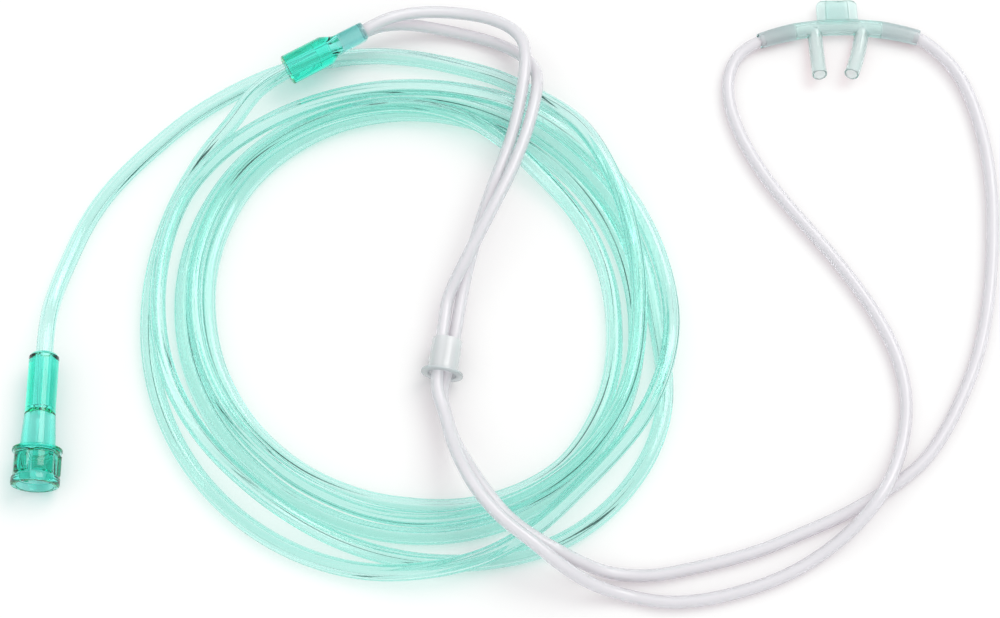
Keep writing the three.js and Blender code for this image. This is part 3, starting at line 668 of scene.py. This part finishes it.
def connectorRings(c):
    # One closed outline of (radius, y, fillet) in millimetres, turned about the axis, with the lugs as a
    # swelling of the cup's outside: radius + lugHeight * window(y) * window(angle), each window a smooth step
    # up and down. A lug is its middle angle and half its width, in degrees.
    length = c["length"] / mm
    socket = c["socket"] / mm
    collarFront = length - c["cupLength"]
    collarBack = collarFront - c["collarThick"]
    rimBack = length - c["rimLength"]
    floor = length - c["cupDepth"]
    outline = rounded([
        (c["socketWall"], c["lip"], 0.05), (c["socketWall"] + slack, 0, 0.15),
        (c["tubeEnd"] - c["chamfer"], 0, 0.15), (c["tubeEnd"], c["chamfer"], 0.3),
        (c["tubeEnd"], socket, 2), (c["shoulder"], collarBack - 0.3, 0.4),
        (c["shoulder"] + 0.4, collarBack, 0.2), (c["collar"], collarBack, 0.35),
        (c["collar"], collarFront, 0.35), (c["cup"], collarFront, 0.3), (c["cup"], collarFront + 1.2, 0.2),
        (c["cup"], collarFront + 2.6, 0.1), (c["cup"], rimBack - 2.2, 0.1), (c["cup"], rimBack - 0.8, 0.2),
        (c["cup"], rimBack, 0.3), (c["rim"], rimBack, 0.4), (c["rim"], length - 0.3, 0.5),
        (c["rim"] - 0.5, length, 0.4), (c["mouth"], length, 0.4), (c["cupFloor"], floor, 0.8),
        (c["bore"], floor - 0.6, 0.4), (c["bore"] - 0.15, socket + c["stepLength"] + 1.2, 0.5),
        (c["step"], socket + c["stepLength"], 0.3), (c["step"], socket + c["seam"], 0.05),
        (c["socketWall"], socket + c["seam"], 0.05),
    ])
    rings = turnedRings(outline * mm, c["sides"], {"at": np.zeros(3), "axes": np.eye(3)})
    angle = np.degrees(np.linspace(0, 2 * np.pi, c["sides"], endpoint=False))
    radius = np.hypot(rings[..., 0], rings[..., 2])

    def window(value, low, high, soft):
        # 1 between low and high, with a step 3 t2 - 2 t3 of width soft inside each end.
        up = np.clip((value - low) / soft, 0, 1)
        down = np.clip((high - value) / soft, 0, 1)
        return (3 * up ** 2 - 2 * up ** 3) * (3 * down ** 2 - 2 * down ** 3)

    onCup = np.abs(radius - c["cup"] * mm) < 0.05 * mm
    alongWindow = window(rings[..., 1] / mm, collarFront + 0.5, rimBack - 0.3, c["lugSlope"])
    around = sum(
        window((angle - middle + 180) % 360 - 180, -half, half, c["lugSlopeAngle"])
        for middle, half in c["lugs"])
    grown = c["lugHeight"] * mm * onCup * alongWindow * around[None, :]
    factor = (radius + grown) / radius
    rings[..., 0] *= factor
    rings[..., 2] *= factor
    return placed(rings.reshape(-1, 3), connectorPlace).reshape(rings.shape)


connectorBody = surface("connector_body", connectorRings(connector), closedRows=True, sharpAngle=50)
connectorBody.data.materials.append(fittingVinyl)
middles = unplaced(faceMiddles(connectorBody), connectorPlace) / mm
radii = np.hypot(middles[:, 0], middles[:, 2])
inSocket = (middles[:, 1] > connector["lip"]) & (middles[:, 1] < connector["socket"] / mm)
markBonded(connectorBody, inSocket & (radii < connector["socketWall"] + slack))
# The raised pads are marked for a deeper teal: painted shade for their thicker plastic.
lugsFrom = connector["length"] / mm - connector["cupLength"] + 0.3
lugsTo = connector["length"] / mm - connector["rimLength"] - 0.2
swollen = (radii > connector["cup"] + 0.15) & (middles[:, 1] > lugsFrom) & (middles[:, 1] < lugsTo)
mark(connectorBody, "shadedPads", "FACE", swollen)


# Y connector

yPiece.update({
    "barrel": 4.7, "barrelLength": 13.2, "taper": 3.8, "headWidth": 2.8, "headHeight": 4.9, "round": 0.5,
    "sides": 72, "socketWall": 2.52, "lumenWall": 1.87, "chamber": 1.7, "wayLength": 3.6, "wayShare": 0.7,
    "seam": 0.05, "sharpAngle": 35,
})


def yRings(y):
    # Each ring is a stadium: (w cos a, w sin a + (h - w) clip(4 sin a, -1, 1)), round where h = w. Half
    # width w and half height h run from the barrel's to the head's over the taper, by the mean of a straight
    # and a smooth step.
    length = y["length"] / mm
    edge = y["round"]
    taperEnd = y["barrelLength"] + y["taper"]
    along = np.concatenate([
        edge * (1 - np.cos(np.linspace(0, np.pi / 2, 6))),
        np.linspace(edge + 0.3, y["barrelLength"] - 0.3, 8),
        np.linspace(y["barrelLength"], taperEnd, 16),
        np.linspace(taperEnd + 0.4, length - 0.25, 8), [length]])
    t = np.clip((along - y["barrelLength"]) / y["taper"], 0, 1)
    blend = 0.5 * t + 0.5 * (3 * t ** 2 - 2 * t ** 3)
    inset = edge * (1 - np.sqrt(np.clip(1 - (1 - np.clip(along / edge, 0, 1)) ** 2, 0, 1)))
    inset = inset + 0.15 * (along > length - 0.1)
    width = y["barrel"] + (y["headWidth"] - y["barrel"]) * blend - inset
    height = y["barrel"] + (y["headHeight"] - y["barrel"]) * blend - inset
    angle = np.linspace(0, 2 * np.pi, y["sides"], endpoint=False)
    x = width[:, None] * np.cos(angle)
    z = width[:, None] * np.sin(angle) + (height - width)[:, None] * np.clip(4 * np.sin(angle), -1, 1)
    rings = np.stack([x, np.broadcast_to(along[:, None], x.shape), -z], axis=-1) * mm
    return placed(rings.reshape(-1, 3), yPlace).reshape(rings.shape)


def rod(name, radius, low, high, place, offset=0.0, sides=48):
    # A straight cylinder along the place's y axis, in millimetres, raised by offset.
    rings = turnedRings(np.array([(radius, low), (radius, high)]) * mm, sides, place, offset * mm)
    return surface(name, rings, caps=True)


yBody = surface("y_body", yRings(yPiece), caps=True)
yLength, yDeep = yPiece["length"] / mm, yPiece["lariatSocket"] / mm
yEnd = yPiece["socket"] / mm + yPiece["seam"]
yFloor = yLength - yDeep  # where the two lumen sockets end inside
lumenRise = yPiece["lumenOffset"] / mm
past = 1  # millimetres by which a cut runs on past a face
combined(yBody, [
    rod("cut", yPiece["socketWall"], -past, yEnd, yPlace),
    rod("cut", yPiece["chamber"], yEnd - 0.5, yFloor - past, yPlace),
] + [
    rod("cut", yPiece["chamber"], yFloor - yPiece["wayLength"], yFloor + past, yPlace, rise)
    for rise in (lumenRise * yPiece["wayShare"], -lumenRise * yPiece["wayShare"])
] + [
    rod("cut", yPiece["lumenWall"], yFloor - yPiece["seam"], yLength + past, yPlace, rise)
    for rise in (lumenRise, -lumenRise)
], "DIFFERENCE")
yBody.data.shade_smooth()
yBody.data.set_sharp_from_angle(angle=math.radians(yPiece["sharpAngle"]))
yBody.data.materials.append(fittingVinyl)
middles = unplaced(faceMiddles(yBody), yPlace) / mm
radii = np.hypot(middles[:, 0], middles[:, 2])
lumenRadii = np.hypot(middles[:, 0], np.abs(middles[:, 2]) - lumenRise)
inSocket = (middles[:, 1] > 2 * slack) & (middles[:, 1] < yEnd - slack)
inSocket &= radii < yPiece["socketWall"] + slack
inLumens = (middles[:, 1] > yFloor) & (middles[:, 1] < yLength - slack)
inLumens &= lumenRadii < yPiece["lumenWall"] + slack
markBonded(yBody, inSocket | inLumens)
print("fittings made")


# Slider

slider.update({
    "length": 11, "outside": 4.6, "taper": 0.15, "bore": 4.08, "flange": 6.3, "flangeThick": 0.9, "sides": 64,
})


def sliderRings(s):
    # A thin tapered sleeve with a flange at its lower end, one closed outline turned about the axis.
    outline = rounded([
        (s["bore"], 0, 0.15), (s["flange"], 0, 0.4), (s["flange"], s["flangeThick"], 0.4),
        (s["outside"], s["flangeThick"], 0.5), (s["outside"] - s["taper"], s["length"], 0.2),
        (s["bore"] - 0.05, s["length"], 0.2),
    ])
    return turnedRings(outline * mm, s["sides"], sliderPlace)


sliderBody = surface("slider_sleeve", sliderRings(slider), closedRows=True, sharpAngle=50)
sliderBody.data.materials.append(sliderPlastic)


# Nosepiece

nose.update({
    "endRadius": 2.45, "seamRadius": 2.7, "middleRadius": 2.5, "bore": 1.5, "socketWall": 1.87,
    "prong": 2.3, "prongBore": 1.75, "spacing": 14.9, "reach": 17.4, "rise": 2.6, "leanLeft": 0.5,
    "leanRight": 16, "prongHole": (0.02, 1.06), "tabWidth": 12.8, "tabReach": 9.2, "tabThick": 1.4,
    "tabCorner": 2.1, "bandWidth": 6.4, "bandThick": 2.4, "bandShort": 0.4, "bandCorner": 0.3, "voxel": 0.22,
    "relaxFactor": 0.5, "relaxRounds": 8, "skinSlack": 0.12,
})


def archRadius(x):
    # Thickest at the seams, where the head tubes stop inside: by a square from the middle to a seam, then by
    # a straight taper.
    away = np.abs(x)
    seam = (nose["span"] / 2 - nose["socket"]) / mm
    middle, thickest, end = nose["middleRadius"], nose["seamRadius"], nose["endRadius"]
    inner = middle + (thickest - middle) * (away / seam) ** 2
    outer = thickest + (end - thickest) * (away - seam) / (nose["socket"] / mm)
    return np.where(away < seam, inner, outer)


def archPiece(name, low, high, radius, count=60, sides=40):
    # The middle line between two x, in millimetres, swept with a radius that may change along it.
    x = np.linspace(low, high, count)
    path = placed(arcPoint(x * mm), nosePlace)
    size = radius(x) if callable(radius) else np.full(count, radius)
    return surface(name, sweep(path, size * mm, sides), caps=True)


def prongLine(side, low, high, count=24):
    # From the arch straight out and bowed up: sideways by lean (t + t2) / 2 and up by rise t2, with t from
    # the root to the tip.
    t = np.linspace(low, high, count)
    lean = math.tan(math.radians(nose["leanLeft"] if side < 0 else nose["leanRight"])) * nose["reach"]
    root = arcPoint(side * nose["spacing"] / 2 * mm) / mm
    x = root[0] - side * lean * (t + t ** 2) / 2
    line = np.stack([x, root[1] - nose["reach"] * t, nose["rise"] * t ** 2], axis=1)
    return placed(line * mm, nosePlace)


def prongPiece(name, side, low, high, radius, sides=36):
    # A prong's line swept with one radius, in millimetres.
    return surface(name, sweep(prongLine(side, low, high), radius * mm, sides), caps=True)


def slab(name, halfWidth, reach, thick, corner):
    # A flat outline with two rounded outer corners, as two rings of points a thickness apart.
    turn = np.linspace(0, np.pi / 2, 8)
    bend = corner * np.stack([np.cos(turn), np.sin(turn)], axis=1)
    right = np.array([halfWidth - corner, reach - corner]) + bend
    left = right[::-1] * [-1, 1]
    outline = np.vstack([[(halfWidth, 0)], right, left, [(-halfWidth, 0)]])
    faces = [np.column_stack([outline, np.full(len(outline), z)]) for z in (thick / 2, -thick / 2)]
    rings = np.stack(faces) * mm
    return surface(name, placed(rings.reshape(-1, 3), nosePlace).reshape(rings.shape), caps=True)


half = nose["span"] / 2 / mm
deep = nose["socket"] / mm
noseBody = archPiece("nose_body", -half, half, archRadius)
combined(noseBody, [prongPiece("add", side, 0, 1, nose["prong"]) for side in (-1, 1)] + [
    slab("add", nose["tabWidth"] / 2, nose["tabReach"], nose["tabThick"], nose["tabCorner"]),
    slab(
        "add", nose["bandWidth"] / 2, nose["tabReach"] - nose["bandShort"], nose["bandThick"],
        nose["bandCorner"]),
], "UNION")
combined(noseBody, [
    archPiece("cut", -half + deep - 0.5, half - deep + 0.5, nose["bore"]),
    archPiece("cut", -half - past, -half + deep, nose["socketWall"], 20),
    archPiece("cut", half - deep, half + past, nose["socketWall"], 20),
] + [
    prongPiece("cut", side, *nose["prongHole"], nose["prongBore"]) for side in (-1, 1)
], "DIFFERENCE")
remesh = noseBody.modifiers.new("skin", "REMESH")
remesh.mode = "VOXEL"
remesh.voxel_size = nose["voxel"] * mm
remesh.use_smooth_shade = True
relax = noseBody.modifiers.new("relax", "SMOOTH")
relax.factor = nose["relaxFactor"]
relax.iterations = nose["relaxRounds"]
bakeModifiers(noseBody)
noseBody.data.materials.clear()
noseBody.data.materials.append(noseVinyl)
middles = unplaced(faceMiddles(noseBody), nosePlace)
fromArc = np.hypot(middles[:, 0], middles[:, 1] + nose["arcRadius"]) - nose["arcRadius"]
fromLine = np.hypot(fromArc, middles[:, 2])
inSocket = np.abs(middles[:, 0]) > nose["span"] / 2 - nose["socket"]
markBonded(noseBody, inSocket & (fromLine < (nose["socketWall"] + nose["skinSlack"]) * mm))
print("nosepiece made:", len(noseBody.data.polygons))


# What rides on what

for piece in (supplyTube, leftTube, rightTube, connectorBody, yBody, noseBody):
    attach(piece, "tubing_set")
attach(sliderBody, "slider")
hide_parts("supply_tube_inlet", "supply_tube_coil", "supply_tube_outlet")
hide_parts("lariat_tube_left")
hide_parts("lariat_tube_right")
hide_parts("end_connector")
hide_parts("y_connector")
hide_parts("slider")
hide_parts("nosepiece")

# Table and light

# wallTop and skyFrom are heights of the direction, between which the wall goes over into the ceiling
stage = {
    "floorSize": 3.0, "floor": "#ffffff", "below": 0.02 * mm, "roughness": 0.9, "specular": 0.1,
    "sky": "#ffffff", "wall": "#c8d0d1", "wallTop": 0.15, "skyFrom": 0.6, "skyLight": 0.86,
}
key = {"from": (0.45, 0.40, 0.80), "spread": 34, "strength": 1.0, "colour": "#fffdfb"}


def makeFloor(stage):
    # A flat square just under the object.
    size = stage["floorSize"] / 2
    mesh = bpy.data.meshes.new("table")
    corners = [(x * size, y * size, 0) for x, y in ((-1, -1), (1, -1), (1, 1), (-1, 1))]
    mesh.from_pydata(corners, [], [(0, 1, 2, 3)])
    floor = bpy.data.objects.new("table", mesh)
    floor.location = (0, 0, -stage["below"])
    bpy.context.collection.objects.link(floor)
    material = bpy.data.materials.new("matt white laminate")
    material.use_nodes = True
    plain = material.node_tree.nodes["Principled BSDF"]
    plain.inputs["Base Color"].default_value = linear(stage["floor"])
    plain.inputs["Roughness"].default_value = stage["roughness"]
    plain.inputs["Specular IOR Level"].default_value = stage["specular"]
    mesh.materials.append(material)


def makeLamp(name, lamp):
    # A large soft light far away, so that the table is lit evenly: parallel light with an angular spread.
    data = bpy.data.lights.new(name, "SUN")
    data.angle = math.radians(lamp["spread"])
    data.energy = lamp["strength"]
    data.color = linear(lamp["colour"])[:3]
    light = bpy.data.objects.new(name, data)
    x, y, z = lamp["from"]
    light.location = lamp["from"]
    light.rotation_euler = (math.atan2(math.hypot(x, y), z), 0, math.atan2(y, x) + math.pi / 2)
    bpy.context.collection.objects.link(light)


def makeWorld(stage):
    # A bright ceiling above darker walls, by the height of the direction. The walls give clear plastic its
    # edges.
    world = bpy.data.worlds.new("studio")
    world.use_nodes = True
    tree = world.node_tree
    tree.nodes.clear()
    direction = addNode(tree, "ShaderNodeTexCoord").outputs["Generated"]
    height = addNode(tree, "ShaderNodeSeparateXYZ", {"Vector": direction}).outputs["Z"]
    share = addNode(tree, "ShaderNodeMapRange", {
        "Value": height, "From Min": stage["wallTop"], "From Max": stage["skyFrom"]}).outputs["Result"]
    colour = addNode(tree, "ShaderNodeMix", {
        "Factor": share, 6: linear(stage["wall"]), 7: linear(stage["sky"])}, data_type="RGBA").outputs[2]
    light = addNode(tree, "ShaderNodeBackground", {"Color": colour, "Strength": stage["skyLight"]})
    addNode(tree, "ShaderNodeOutputWorld", {"Surface": light.outputs["Background"]})
    bpy.context.scene.world = world


makeFloor(stage)
makeLamp("keyLight", key)
makeWorld(stage)
scene = bpy.context.scene
scene.view_settings.view_transform = "Standard"
scene.cycles.max_bounces = 32
scene.cycles.transmission_bounces = 32
scene.cycles.transparent_max_bounces = 64
print("stage set")
